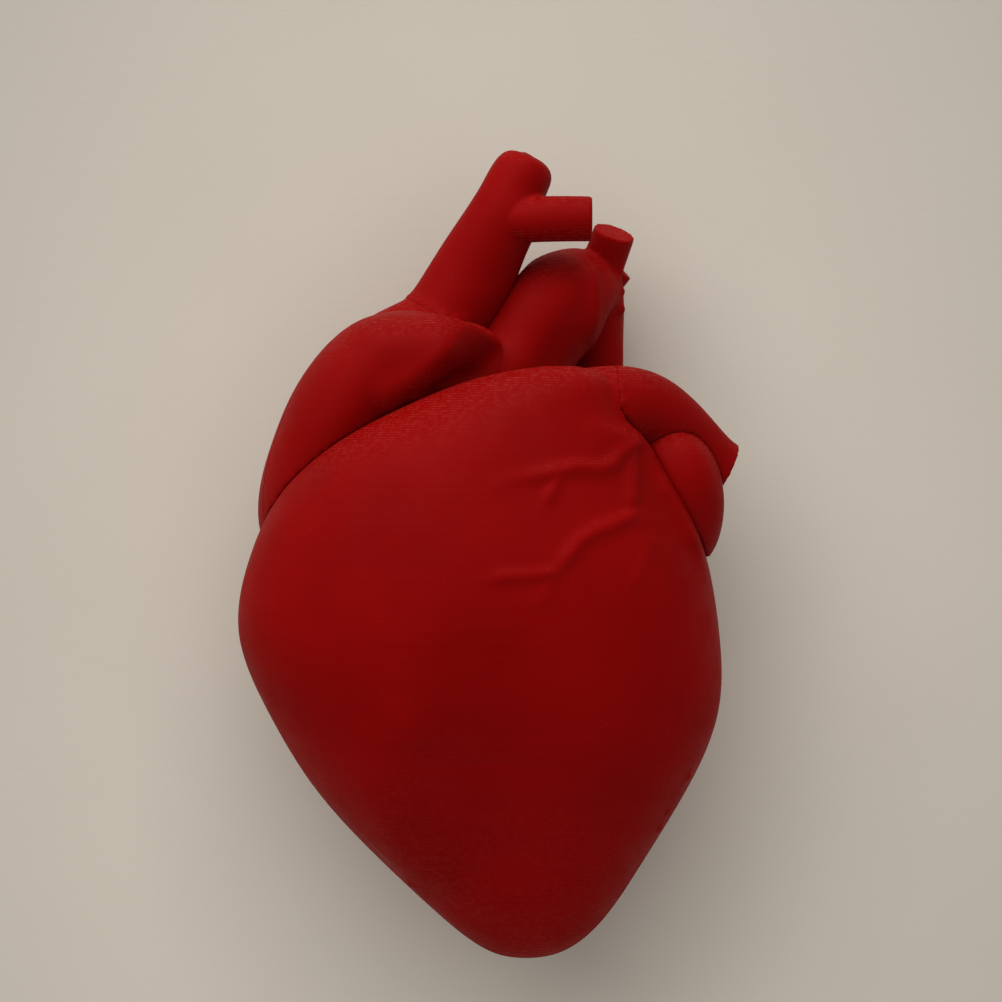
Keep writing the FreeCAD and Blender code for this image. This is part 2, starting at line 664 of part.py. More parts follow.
aortic_hole, aortic_spigot = socket("aortic", AORTIC_PULL, cell("spigot_length"))
caval_hole, caval_spigot = socket("caval", CAVAL_PULL, cell("spigot_length"))
pulmonary_hole, pulmonary_spigot = socket("pulmonary", PULMONARY_PULL, cell("pulmonary_spigot_length"))
aortic_boss = boss("aortic", AORTIC_PULL)
caval_boss = boss("caval", CAVAL_PULL)
aortic_channel = channel("aortic", AORTIC_FLOW, "outflow_reach")
pulmonary_channel = channel("pulmonary", PULMONARY_FLOW, "pulmonary_reach")

# ---------------------------------------------------------------------------- magnets and pins

MAGNETS = ("apex", "wall", "left_base", "right_base")
magnets_behind, magnets_in_front = [], []
for where in MAGNETS:
    x, y = cell(f"{where}_magnet_x"), above_groove(f"{where}_magnet_rise")
    thickness, inset = cell("magnet_thickness"), cell("magnet_inset")
    for side, pile in ((-1, magnets_behind), (1, magnets_in_front)):
        face = (x, y, f"{cell('split_height')} + ({side}) * {inset}")
        tag = f"{where}_magnet_{side + 1}"
        pile.append(rod(tag, face, FRONT * side, cell("magnet_radius"), thickness))
PINS = {
    "septum": (
        f"{cell('septum_x')} + {cell('septum_lean')} * ({above_groove('septum_pin_rise')})",
        above_groove("septum_pin_rise"),
    ),
    "base": (cell("base_pin_x"), above_groove("base_pin_rise")),
}
pins, pin_holes = [], []
for where, (x, y) in PINS.items():
    pin_foot = (x, y, f"{cell('split_height')} - {cell('pin_depth')}")
    pins.append(
        rod(f"{where}_pin", pin_foot, FRONT, cell("pin_radius"), f"{cell('pin_depth')} + {cell('pin_reach')}")
    )
    pin_mouth = (x, y, cell("split_height"))
    pin_holes.append(
        rod(f"{where}_pin_hole", pin_mouth, FRONT, f"{cell('pin_radius')} + {cell('socket_gap')}",
            f"{cell('pin_reach')} + {cell('pin_tip_gap')}")
    )

# ---------------------------------------------------------------------------- the pieces

nodes = {}
nodes["back_magnets"] = group("back_magnets", *magnets_behind)
nodes["front_magnets"] = group("front_magnets", *magnets_in_front)
nodes["locating_pins"] = group("locating_pins", *pins)

body_behind, body_in_front = behind_and_in_front("ventricle", ventricle_body)
magnet_pockets = [
    rod(f"{where}_pocket_{side + 1}", (cell(f"{where}_magnet_x"), above_groove(f"{where}_magnet_rise"),
        cell("split_height")), FRONT * side, cell("magnet_radius"),
        f"{cell('magnet_thickness')} + {cell('magnet_inset')}")
    for where in MAGNETS for side in (-1, 1)
]
nodes["ventricle_back_half"] = cut(
    "ventricle_back_half",
    fuse("back_half_with_boss", body_behind, aortic_boss),
    left_chamber, right_chamber, *tunnels.values(), aortic_hole, aortic_channel, below_table,
    *magnet_pockets[0::2], *pins,
)
trunk_tube = tube_form("trunk_tube", "pulmonary_trunk", PULMONARY_TRUNK)
trunk_seam = along(station_centre("pulmonary_socket"), PULMONARY_PULL, cell("pulmonary_spigot_length"))
trunk_start = along(trunk_seam, PULMONARY_PULL, cell("seam_gap"))
trunk_foot_side = rod("trunk_foot_side", trunk_seam, PULMONARY_PULL * -1, str(REACH), str(REACH))
trunk_far_side = rod("trunk_far_side", trunk_start, PULMONARY_PULL, str(REACH), str(REACH))
trunk_foot = common("trunk_foot", trunk_tube, trunk_foot_side)
nodes["ventricle_front_wall"] = cut(
    "ventricle_front_wall", fuse("front_with_foot", body_in_front, trunk_foot), left_chamber, right_chamber,
    pulmonary_hole, pulmonary_channel, *magnet_pockets[1::2], *pin_holes,
)

atrium_shell = cut("atrium_shell", atrium_body, ventricle_body, atrium_hollow)
shell_behind, shell_in_front = behind_and_in_front("atrium", atrium_shell)
caval_collar = cut(
    "caval_collar",
    tube_form("collar_tube", "caval_collar", CAVAL_COLLAR, mouth=mouth("caval", CAVAL_PULL), pull=CAVAL_PULL),
    atrium_hollow, before_split,
)
nodes["right_atrium"] = cut(
    "right_atrium", fuse("atrium_with_boss", shell_behind, caval_collar, caval_boss), ventricle_body,
    caval_hole, tunnels["tricuspid"],
)
slope_form = lobe_form("slope_form", "auricle_slope", AURICLE_SLOPE)
slope = common("slope", cut("slope_shell", slope_form, atrium_hollow), before_split)
auricle_with_slope = fuse("auricle_with_slope", shell_in_front, slope)
nodes["right_auricle"] = cut("right_auricle", auricle_with_slope, ventricle_body)

arch_foot = mouth("aortic", AORTIC_PULL, f" + {cell('seam_gap')}")
arch_clear = tube_form("arch_clear", "aorta", AORTA, GAP, mouth=arch_foot)
aortic_way = rod(
    "aortic_way", along(station_centre("aortic_socket"), AORTIC_PULL, cell("spigot_length")), AORTIC_PULL,
    cell("aorta_root_radius") + GAP, f"4 * {cell('spigot_length')}",
)
nodes["left_atrium"] = cut(
    "left_atrium", left_atrium_body, ventricle_body, aortic_boss, aortic_way, arch_clear, left_atrium_hollow,
    tunnels["mitral"],
)

auricle_form = lobe_form("auricle_form", "left_auricle", LEFT_AURICLE)
nodes["left_auricle"] = cut("left_auricle", auricle_form, ventricle_clear)

caval_foot = mouth("caval", CAVAL_PULL, f" + {cell('seam_gap')}")
caval_tube = tube_form("caval_tube", "superior_vena_cava", SUPERIOR_VENA_CAVA, mouth=caval_foot)
caval_branch = tube_form("caval_branch", "brachiocephalic_vein", BRACHIOCEPHALIC_VEIN)
caval_trimmed = cut("caval_trimmed", fuse("caval_tubes", caval_tube, caval_branch), atrium_clear)
nodes["superior_vena_cava"] = fuse("superior_vena_cava", caval_trimmed, caval_spigot)
caval_way = rod(
    "caval_way", station_centre("caval_socket"), CAVAL_PULL, cell("caval_mouth_radius") + GAP, str(REACH)
)

arch = tube_form("arch", "aorta", AORTA, mouth=arch_foot)
arch_branches = [
    tube_form(f"{organ}_tube", organ, stations)
    for organ, stations in (
        ("brachiocephalic_artery", BRACHIOCEPHALIC_ARTERY),
        ("left_carotid", LEFT_CAROTID),
        ("left_subclavian", LEFT_SUBCLAVIAN),
    )
]
arch_trimmed = cut(
    "arch_trimmed", fuse("arch_tubes", arch, *arch_branches), ventricle_clear, atrium_clear, caval_way
)
nodes["aorta"] = fuse("aorta", arch_trimmed, aortic_spigot)

trunk_beyond = common("trunk_beyond", trunk_tube, trunk_far_side)
trunk_trimmed = cut("trunk_trimmed", trunk_beyond, ventricle_clear, auricle_form)
nodes["pulmonary_trunk"] = fuse("pulmonary_trunk", trunk_trimmed, pulmonary_spigot)

right_artery = tube_form("right_artery", "right_pulmonary_artery", RIGHT_PULMONARY_ARTERY)
nodes["right_pulmonary_artery"] = cut(
    "right_pulmonary_artery", right_artery, left_atrium_body, atrium_body, ventricle_body, arch_clear
)
for side, names in (
    ("right", (("upper_right_pulmonary_vein", UPPER_RIGHT_PULMONARY_VEIN),
               ("lower_right_pulmonary_vein", LOWER_RIGHT_PULMONARY_VEIN))),
    ("left", (("upper_left_pulmonary_vein", UPPER_LEFT_PULMONARY_VEIN),
              ("lower_left_pulmonary_vein", LOWER_LEFT_PULMONARY_VEIN))),
):
    trimmed = [
        cut(f"{organ}_piece", tube_form(f"{organ}_tube", organ, stations), left_atrium_body, ventricle_body,
            atrium_body, right_artery)
        for organ, stations in names
    ]
    nodes[f"{side}_pulmonary_veins"] = group(f"{side}_pulmonary_veins", *trimmed)
inferior_tube = tube_form("inferior_tube", "inferior_vena_cava", INFERIOR_VENA_CAVA)
nodes["inferior_vena_cava"] = cut("inferior_vena_cava", inferior_tube, atrium_body, ventricle_body)

for inlet, chamber_form, side, lean_back in (
    ("tricuspid", right_chamber, "right", 0.5),
    ("mitral", left_chamber, "left", 0.3),
):
    ring_centre = (cell(f"{inlet}_x"), above_groove("inlet_rise"), from_split(f"{inlet}_z"))
    nodes[f"{inlet}_valve"] = valve(
        f"{inlet}_valve", ring_centre, UP * -1, "inlet_radius", LEAFLETS[inlet], "leaflet_length",
        "leaflet_tip_radius",
    )
    nodes[f"{side}_papillary_muscles"] = muscles(side, inlet, chamber_form, lean_back)
for outlet, flow in (("aortic", AORTIC_FLOW), ("pulmonary", PULMONARY_FLOW)):
    ring_centre = along(station_centre(f"{outlet}_socket"), flow, f"-{cell(f'{outlet}_valve_depth')}")
    nodes[f"{outlet}_valve"] = valve(
        f"{outlet}_valve", ring_centre, flow, "outlet_radius", CUSPS, "cusp_length", "cusp_tip_radius"
    )

doc.recompute()

# ---------------------------------------------------------------------------- checks and export

for thing in doc.Objects:
    if "Invalid" in thing.State or "Error" in thing.State:
        raise SystemExit(f"{thing.Name} is in state {thing.State}")
os.makedirs("parts", exist_ok=True)
for name, thing in nodes.items():
    shape = thing.Shape
    if shape.isNull() or not shape.isValid() or not shape.Solids:
        raise SystemExit(f"{name} has no valid solid")
    thing.Label = name
    shape.exportStep(f"parts/{name}.step")
    print(f"{name}: {len(shape.Solids)} solids, {[round(s.Volume, 2) for s in shape.Solids]} mm3")
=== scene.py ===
import json
import math

import bmesh
import bpy
import numpy as np
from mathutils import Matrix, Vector
from mathutils.bvhtree import BVHTree
from mathutils.kdtree import KDTree


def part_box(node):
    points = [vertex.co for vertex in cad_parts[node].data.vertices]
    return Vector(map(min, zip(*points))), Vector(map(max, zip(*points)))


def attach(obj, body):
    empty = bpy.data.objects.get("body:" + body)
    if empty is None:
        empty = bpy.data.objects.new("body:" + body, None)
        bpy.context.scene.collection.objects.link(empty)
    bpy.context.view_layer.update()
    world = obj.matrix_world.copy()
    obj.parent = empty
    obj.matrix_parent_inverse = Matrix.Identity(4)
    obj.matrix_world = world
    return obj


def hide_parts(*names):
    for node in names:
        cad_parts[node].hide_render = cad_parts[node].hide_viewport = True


# A take-apart heart model, printed in matte red plastic, lying on its back.
# Frame: +X the viewer's right, +Y from the apex to the great vessels, +Z the heart's front.
# Lengths are in millimetres here, and MM turns them into Blender's metres.

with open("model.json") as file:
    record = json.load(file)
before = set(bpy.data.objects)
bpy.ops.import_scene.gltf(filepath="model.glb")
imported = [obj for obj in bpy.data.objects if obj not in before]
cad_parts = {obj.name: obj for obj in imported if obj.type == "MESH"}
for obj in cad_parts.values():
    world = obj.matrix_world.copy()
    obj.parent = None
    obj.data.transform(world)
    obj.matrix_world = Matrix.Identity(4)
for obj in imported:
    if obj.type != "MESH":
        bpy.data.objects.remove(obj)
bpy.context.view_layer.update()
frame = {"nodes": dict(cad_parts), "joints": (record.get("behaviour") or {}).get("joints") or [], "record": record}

MM = 0.001
LAYER = 0.3                     # print layer; the layers are stacked along Y
WALL_VOXEL = 0.38               # grid of the two ventricle halves
LOBE_VOXEL = 0.28
VESSEL_VOXEL = 0.25
FINE_VOXEL = 0.13
SLIDE_GAP = 0.3                 # gap that the solids keep between pieces that come apart
SNUG_GAP = 0.015                # gap that the printed skins leave there
SEAM_GAP = 0.004                # gap in a vessel's flat seam, and where a piece is cut to clear its neighbour
OVERLAP = 1.6                   # how far a mating face is drawn out before its piece is evened
FOOT_REACH = 0.9                # the same for a socket's mouth that lies close to other walls
SWELL = 0.2                     # how far a vessel is swollen where it cuts its own seat
PLUG_SPARE = 0.4                # how much wider than its hole a plug is
PARALLEL = 0.999                # least cosine between a flat face's normal and its plane's
BAR_SIDES = 72
SMOOTH_ANGLE = math.radians(38)


def joint_axis(name):
    return Vector(next(joint["axis"] for joint in frame["joints"] if joint["name"] == name)).normalized()


FRONT = Vector((0, 0, 1))
SPLIT = Vector((0, 0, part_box("ventricle_back_half")[1][2] / MM))
TABLE = Vector((0, 0, 0))

SOCKETS = {}                    # vessel: middle of its socket's floor, depth, pull direction
SOCKETS["caval"] = (Vector((-7.2, 24.8, 14.2)), 4.0, joint_axis("vena_cava_pull"))
SOCKETS["aortic"] = (Vector((-2.0, 12.7, 14.5)), 4.0, joint_axis("aorta_pull"))
SOCKETS["pulmonary"] = (Vector((10.4, 16.5, 24.4)), 5.1, joint_axis("trunk_pull"))
SPIGOT_RADIUS, HOLE_RADIUS = 2.9, 2.98


# ------------------------------------------------------------------ handling pieces

def only(*pieces):
    """Selects these pieces and nothing else, the first one active."""
    bpy.ops.object.select_all(action="DESELECT")
    for piece in pieces:
        piece.select_set(True)
    bpy.context.view_layer.objects.active = pieces[0]


def apply_modifier(piece, kind, **settings):
    only(piece)
    modifier = piece.modifiers.new(kind.lower(), kind)
    for key, value in settings.items():
        setattr(modifier, key, value)
    bpy.ops.object.modifier_apply(modifier=modifier.name)


def merged_copy(node, name):
    """A copy of a CAD node with its loose triangles merged, ready to be shaped."""
    piece = bpy.data.objects.new(name, frame["nodes"][node].data.copy())
    bpy.context.collection.objects.link(piece)
    piece.data.materials.clear()
    only(piece)
    bpy.ops.object.mode_set(mode="EDIT")
    bpy.ops.mesh.select_all(action="SELECT")
    bpy.ops.mesh.remove_doubles(threshold=0.002 * MM)
    bpy.ops.object.mode_set(mode="OBJECT")
    return piece


def points_of(piece):
    """Vertex places in millimetres, one row each."""
    flat = np.empty(len(piece.data.vertices) * 3, np.float32)
    piece.data.vertices.foreach_get("co", flat)
    return flat.reshape(-1, 3).astype(float) / MM


def normals_of(piece):
    flat = np.empty(len(piece.data.vertices) * 3, np.float32)
    piece.data.vertex_normals.foreach_get("vector", flat)
    return flat.reshape(-1, 3).astype(float)


def move_points(piece, points):
    piece.data.vertices.foreach_set("co", (points * MM).astype(np.float32).ravel())
    piece.data.update()


def round_bar(name, foot, direction, radius, length, bevel=0.0):
    """A cylinder that starts at foot and runs along direction, its rims bevelled."""
    bpy.ops.object.select_all(action="DESELECT")
    middle = foot + direction * (length / 2)
    turn = direction.to_track_quat("Z", "Y").to_euler()
    bpy.ops.mesh.primitive_cylinder_add(
        vertices=BAR_SIDES, radius=radius * MM, depth=length * MM, location=middle * MM, rotation=turn
    )
    bar = bpy.context.active_object
    bar.name = name
    bpy.ops.object.transform_apply(location=True, rotation=True, scale=True)
    if bevel:
        apply_modifier(bar, "BEVEL", width=bevel * MM, segments=3, limit_method="ANGLE", angle_limit=1.0)
    return bar


def join(pieces):
    only(*pieces)
    bpy.ops.object.join()
    return pieces[0]


def combine(piece, tool, operation):
    apply_modifier(piece, "BOOLEAN", object=tool, operation=operation, solver="EXACT")
    bpy.data.objects.remove(tool)


# ------------------------------------------------------------------ printed skins

def draw_out(piece, point, normal, along=None, reach=OVERLAP):
    """Draws the flat faces that lie on a plane outwards, so that the plane can be cut again cleanly."""
    only(piece)
    bpy.ops.object.mode_set(mode="EDIT")
    bpy.ops.mesh.select_all(action="DESELECT")
    mesh = bmesh.from_edit_mesh(piece.data)
    for face in mesh.faces:
        level = abs((face.calc_center_median() / MM - point).dot(normal)) < 0.03
        face.select_set(level and face.normal.dot(normal) > PARALLEL)
    bmesh.update_edit_mesh(piece.data)
    step = (normal if along is None else along) * reach * MM
    bpy.ops.mesh.extrude_region_move(TRANSFORM_OT_translate={"value": step})
    bpy.ops.object.mode_set(mode="OBJECT")


def trim(piece, point, normal):
    """Cuts away what lies beyond a plane and closes the cut with a flat face."""
    only(piece)
    bpy.ops.object.mode_set(mode="EDIT")
    bpy.ops.mesh.select_all(action="SELECT")
    bpy.ops.mesh.bisect(plane_co=point * MM, plane_no=normal, use_fill=True, clear_outer=True, threshold=1e-7)
    bpy.ops.object.mode_set(mode="OBJECT")


def on_plane(face, point, normal):
    level = abs((face.calc_center_median() / MM - point).dot(normal)) < 0.02
    return level and abs(face.normal.dot(normal)) > PARALLEL


def rim_edges(mesh, point, normal):
    """Edges round the flat faces that lie on a plane."""
    for edge in mesh.edges:
        sides = {on_plane(face, point, normal) for face in edge.link_faces}
        if len(sides) == 2:
            yield edge


def crisp_rims(piece, faces):
    """Marks the rims of the flat faces as sharp, so that the flats shade as flats."""
    mesh = bmesh.new()
    mesh.from_mesh(piece.data)
    for point, normal in faces:
        for edge in rim_edges(mesh, point, normal):
            edge.smooth = False
    mesh.to_mesh(piece.data)
    mesh.free()


def even_out(piece, voxel, rounds):
    """The even, slightly softened surface that a printed organ has."""
    apply_modifier(piece, "REMESH", mode="VOXEL", voxel_size=voxel * MM)
    apply_modifier(piece, "SMOOTH", factor=0.5, iterations=rounds)


def vessel_cutter(node, vessel):
    """A slightly swollen copy of a vessel that starts square at its socket's mouth."""
    cutter = merged_copy(node, "cutter")
    move_points(cutter, points_of(cutter) + normals_of(cutter) * SWELL)
    point, pull = socket_mouth(vessel)
    trim(cutter, point, -pull)
    return cutter


def printed_skin(node, voxel, rounds=3, faces=(), plugs=(), relief=None, bores=(), spigot=None, foot_of=None):
    """The skin that a CAD node is shown with. Its flat faces, given as (point, normal), come out crisp.
    Plugs fill its round holes while it is evened, and bores cut them again.
    foot_of names a vessel whose foot is part of this piece, the vessel's node and its way at the seam."""
    piece = merged_copy(node, node + "_skin")
    for point, normal in faces:
        draw_out(piece, point, normal)
    if foot_of is not None:
        vessel, vessel_node, way = foot_of
        draw_out(piece, *socket_mouth(vessel), along=way, reach=FOOT_REACH)
    if plugs:
        join([piece, *plugs])
    even_out(piece, voxel, rounds)
    if relief is not None:
        relief(piece)
    for point, normal in faces:
        trim(piece, point, normal)
    if foot_of is not None:
        combine(piece, vessel_cutter(vessel_node, vessel), "DIFFERENCE")
    if bores:
        combine(piece, join(list(bores)), "DIFFERENCE")
    if spigot is not None:
        combine(piece, spigot, "UNION")
    crisp_rims(piece, faces)
    return piece


def tree_of(piece):
    points = points_of(piece)
    return BVHTree.FromPolygons([Vector(p) for p in points], [tuple(f.vertices) for f in piece.data.polygons])


def snug(piece, *neighbours, reach):
    """Brings the side of a piece that faces a neighbour close up to it, where the solids keep a gap."""
    for neighbour in neighbours:
        tree = tree_of(neighbour)
        points, normals = points_of(piece), normals_of(piece)
        for i, point in enumerate(points):
            place, _, _, away = tree.find_nearest(Vector(point), reach)
            if place is None or away < SNUG_GAP:
                continue
            step = np.array(place) - point
            faces_it = min(1.0, max(0.0, (step @ normals[i]) / away * 2.5 - 0.25))
            share = max(0.0, away - SLIDE_GAP) / (reach - SLIDE_GAP)
            wanted = SNUG_GAP + share * (reach - SNUG_GAP)
            points[i] += step * (1 - wanted / away) * faces_it
        move_points(piece, points)


def fill_fold(piece, neighbour, height, width):
    """Raises the side of a piece where it meets a neighbour, so that the fold between them is shallow."""
    tree = tree_of(neighbour)
    points = points_of(piece)
    for i, point in enumerate(points):
        place, _, _, away = tree.find_nearest(Vector(point), 3 * width)
        if place is not None and point[2] > SPLIT.z:
            points[i, 2] += height * min(1.0, (point[2] - SPLIT.z) / 3) * math.exp(-((away / width) ** 2))
    move_points(piece, points)


def give_way(piece, *neighbours):
    """Cuts a piece back where it would run into its neighbours."""
    for neighbour in neighbours:
        cutter = bpy.data.objects.new("cutter", neighbour.data.copy())
        bpy.context.collection.objects.link(cutter)
        move_points(cutter, points_of(cutter) + normals_of(cutter) * SEAM_GAP)
        combine(piece, cutter, "DIFFERENCE")


def match_rims(piece, neighbour, vessel, reach=1.6):
    """Brings the rim of a vessel's seam flush with the rim of its socket's mouth."""
    point, pull = socket_mouth(vessel)

    def outer_rim(shown):
        mesh = bmesh.new()
        mesh.from_mesh(shown.data)
        ends = {tuple(vert.co / MM) for edge in rim_edges(mesh, point, pull) for vert in edge.verts}
        mesh.free()
        ends = [Vector(end) for end in sorted(ends)]
        return [end for end in ends if (end - point).length > HOLE_RADIUS + PLUG_SPARE]

    def tree_over(places):
        tree = KDTree(len(places))
        for i, place in enumerate(places):
            tree.insert(place, i)
        tree.balance()
        return tree

    ours, theirs = outer_rim(piece), tree_over(outer_rim(neighbour))
    steps = []
    for place in ours:
        outwards = (place - point).normalized()
        nearest, _, away = theirs.find(place)
        steps.append(outwards * (nearest - place).dot(outwards) if away < 1.0 else Vector())
    rim = tree_over(ours)
    points = points_of(piece)
    for i, place in enumerate(points):
        _, k, away = rim.find(Vector(place))
        if away < reach and (Vector(place) - point).dot(pull) > -0.02:
            points[i] += np.array(steps[k]) * (1 - away / reach) ** 2
    move_points(piece, points)


# ------------------------------------------------------------------ relief

def near_line(points, line):
    """Each point's distance from a line of (x, y) points, seen from the front, and its share of the way."""
    best = np.full(len(points), 1e9)
    share = np.zeros(len(points))
    count = len(line) - 1
    for i in range(count):
        a, b = np.array(line[i], float), np.array(line[i + 1], float)
        step = b - a
        t = np.clip(((points[:, :2] - a) @ step) / (step @ step), 0, 1)
        away = np.linalg.norm(points[:, :2] - a - t[:, None] * step, axis=1)
        closer = away < best
        best[closer] = away[closer]
        share[closer] = (i + t[closer]) / count
    return best, share


def hump(away, width):
    """A rounded hump: 1 at its middle, and fading with the distance."""
    return np.exp(-((away / width) ** 2))


def facing_front(points, normals):
    return np.clip((normals[:, 2] - 0.1) * 3, 0, 1) * np.clip((points[:, 2] - SPLIT.z - 2) / 3, 0, 1)


# Coronary arteries: an (x, y) line, half width and height of each
CORONARIES = (
    (((16.6, 12.4), (16.8, 9.4), (16.7, 6.6), (16.5, 4.6)), 0.85, 0.42),
    (((16.5, 4.6), (14.2, 3.6), (12.0, 2.8), (10.5, 1.8), (9.2, 0.2), (7.7, -1.7), (6.2, -4.9)), 0.95, 0.46),
    (((7.7, -1.7), (4.8, -2.0), (1.8, -2.1), (-0.4, -2.8)), 0.8, 0.34),
    (((16.6, 12.4), (15.0, 11.4), (14.2, 10.4), (12.6, 10.0), (10.2, 10.2), (8.2, 9.7), (5.8, 9.3),
      (3.4, 8.9), (1.4, 8.2)), 0.9, 0.50),
    (((8.2, 9.7), (7.4, 7.6), (6.4, 5.4)), 0.8, 0.36),
    (((18.7, 1.6), (17.9, -0.6), (17.0, -2.9), (16.2, -4.6)), 0.8, 0.14),
)
# The shoulder of the wall beside the pulmonary trunk, stepped by the print layers
SHOULDER = ((11.0, 15.2), (13.4, 14.4), (15.6, 13.6), (17.8, 13.3), (19.2, 12.6))
SHOULDER_HEIGHT, SHOULDER_WIDTH = 0.7, 1.5
# The shallow fold between the ventricles: the crest on its right ventricle's side, and its bed
FOLD_CREST = ((-5.4, 1.6), (-6.0, -4.0), (-6.5, -9.5), (-7.0, -17.0), (-10.3, -21.6), (-11.9, -27.0),
              (-11.5, -32.5), (-8.6, -36.4))
FOLD_BED = ((-0.6, -8.0), (-0.2, -14.0), (0.2, -21.0), (0.0, -27.5), (1.2, -34.5))
CREST_HEIGHT, CREST_WIDTH = 0.55, 3.6
BED_DEPTH, BED_WIDTH = 1.6, 8.0
# Where the wall runs in under the trunk and the left auricle; it is filled, so that the fold stays shallow
LEFT_FOLD = ((18.2, 14.4), (19.2, 13.5), (19.9, 11.8), (20.8, 10.0), (21.5, 8.2), (22.5, 6.5),
             (23.5, 4.7), (24.3, 3.0), (25.4, 1.0), (26.4, -1.5), (27.0, -4.0))
LEFT_FOLD_FILL, LEFT_FOLD_GROWTH, LEFT_FOLD_WIDTH = 1.5, 1.6, 1.35
# Small lumps where the nozzle left the outline: x, y, z, half width, height
LUMPS = ((23.5, -26.2, 24.0, 0.7, 0.35), (21.4, -30.5, 24.0, 0.6, 0.3), (20.3, -32.5, 23.0, 0.6, 0.3),
         (-9.0, -39.0, 23.0, 0.7, 0.3))


def front_relief(piece):
    """The arteries, the fold between the ventricles and the lumps on the front wall."""
    points, normals = points_of(piece), normals_of(piece)
    lift = np.zeros(len(points))
    for line, width, height in CORONARIES:
        away, share = near_line(points, line)
        fade = np.clip((1.0 - share) * 3.0, 0.25, 1.0)
        lift = np.maximum(lift, height * fade * hump(away, width))
    crest, share = near_line(points, FOLD_CREST)
    lift += CREST_HEIGHT * np.clip(share * 2, 0, 1) * hump(crest, CREST_WIDTH)
    bed, share = near_line(points, FOLD_BED)
    lift -= BED_DEPTH * np.clip(share * 1.6, 0, 1) * hump(bed, BED_WIDTH)
    away, share = near_line(points, SHOULDER)
    lift += SHOULDER_HEIGHT * np.clip(share * 2, 0, 1) * hump(away, SHOULDER_WIDTH)
    lift *= facing_front(points, normals)
    for x, y, z, width, height in LUMPS:
        away = np.linalg.norm(points - (x, y, z), axis=1)
        lift += height * hump(away, width)
    away, share = near_line(points, LEFT_FOLD)
    ends = np.clip(share * 4, 0, 1) * np.clip((1 - share) * 4, 0, 1)
    high = np.clip((points[:, 2] - SPLIT.z - 1) / 4, 0, 1)
    filled = ends * high * (LEFT_FOLD_FILL + LEFT_FOLD_GROWTH * share) * hump(away, LEFT_FOLD_WIDTH)
    points += normals * lift[:, None]
    points[:, 2] += filled
    move_points(piece, points)


# Where the right auricle's slope runs in under the edge of the ventricle, the back of that slope,
# and the pocket beside the auricle's tip, which runs out flat over the root of the aorta
TROUGH = ((-12.5, 15.9), (-10.9, 16.8), (-6.8, 18.8), (-3.2, 20.6), (0.4, 21.8))
FLANK = ((-13.5, 17.0), (-10.9, 19.2), (-6.8, 21.5), (-2.7, 23.9), (0.3, 25.0))
POCKET = ((-5.5, 19.8), (-2.1, 21.6), (1.1, 23.0))
TROUGH_FILL, TROUGH_WIDTH = 2.6, 2.7
FLANK_FILL, FLANK_WIDTH = 0.8, 1.9
POCKET_DEPTH, POCKET_WIDTH = 3.4, 1.7
TIP, TIP_REACH = (1.7, 23.4), 6.0
THINNEST = 0.15                 # of the auricle under the pocket


def auricle_relief(piece):
    """Fills the sharp fold beside the ventricle's edge, and lets the auricle's tip run out."""
    points = points_of(piece)
    front = np.clip((points[:, 2] - SPLIT.z) / 2, 0, 1)
    away, share = near_line(points, TROUGH)
    fill = np.clip(share * 2.5, 0, 1) * np.clip((0.85 - share) / 0.4, 0, 1)
    points[:, 2] += TROUGH_FILL * front * fill * hump(away, TROUGH_WIDTH)
    away, share = near_line(points, FLANK)
    points[:, 2] += FLANK_FILL * front * np.clip(share * 3, 0, 1) * hump(away, FLANK_WIDTH)
    away, share = near_line(points, POCKET)
    height = points[:, 2] - SPLIT.z
    sunk = height - POCKET_DEPTH * front * np.clip(share * 2.5, 0, 1) * hump(away, POCKET_WIDTH)
    near = np.clip(np.linalg.norm(points[:, :2] - TIP, axis=1) / TIP_REACH, 0, 1)
    thinned = np.maximum(sunk, THINNEST) * (0.04 + 0.96 * near * near * (3 - 2 * near))
    points[:, 2] = SPLIT.z + np.where(height > 0.3, thinned, height)
    move_points(piece, points)


# The arch's middle line, the place of its root, the ridge down its right side, and the burrs where its
# supports broke off: x, y, z, half width, height
ARCH_LINE = ((-1.0, 20.5), (3.5, 27.0), (7.5, 33.5))
ARCH_FILL, ARCH_WIDTH = 0.8, 4.2
ROOT_PLACE, ROOT_FILL, ROOT_WIDTH = (0.9, 23.4), 0.9, 3.4
ARCH_RIDGE = ((12.8, 34.2), (13.0, 30.0), (12.8, 26.0))
RIDGE_HEIGHT, RIDGE_WIDTH = 0.45, 0.9
ARCH_BURRS = ((16.6, 34.3, 10.0, 0.8, 0.7), (16.2, 30.2, 8.5, 0.7, 0.6), (17.0, 32.4, 9.0, 0.6, 0.5))


def arch_relief(piece):
    """Fills the arch and its root out to the front, and adds the ridge and the burrs."""
    points, normals = points_of(piece), normals_of(piece)
    away, _ = near_line(points, ARCH_LINE)
    upper = np.clip((points[:, 2] - 10.5) / 4, 0, 1)
    lift = ARCH_FILL * upper * np.exp(-((away / ARCH_WIDTH) ** 4))
    near = np.linalg.norm(points[:, :2] - ROOT_PLACE, axis=1)
    lift += ROOT_FILL * upper * hump(near, ROOT_WIDTH)
    away, _ = near_line(points, ARCH_RIDGE)
    lift += RIDGE_HEIGHT * upper * hump(away, RIDGE_WIDTH)
    for x, y, z, width, height in ARCH_BURRS:
        near = np.linalg.norm(points - (x, y, z), axis=1)
        lift += height * hump(near, width)
    points += normals * lift[:, None]
    move_points(piece, points)


# ------------------------------------------------------------------ magnets and pins

MAGNET_RADIUS, MAGNET_THICKNESS, MAGNET_INSET = 1.5, 2.0, 0.05
PIN_RADIUS, PIN_DEPTH, PIN_REACH, PIN_HOLE_RADIUS, PIN_HOLE_DEPTH = 0.875, 3.0, 2.2, 0.955, 2.5


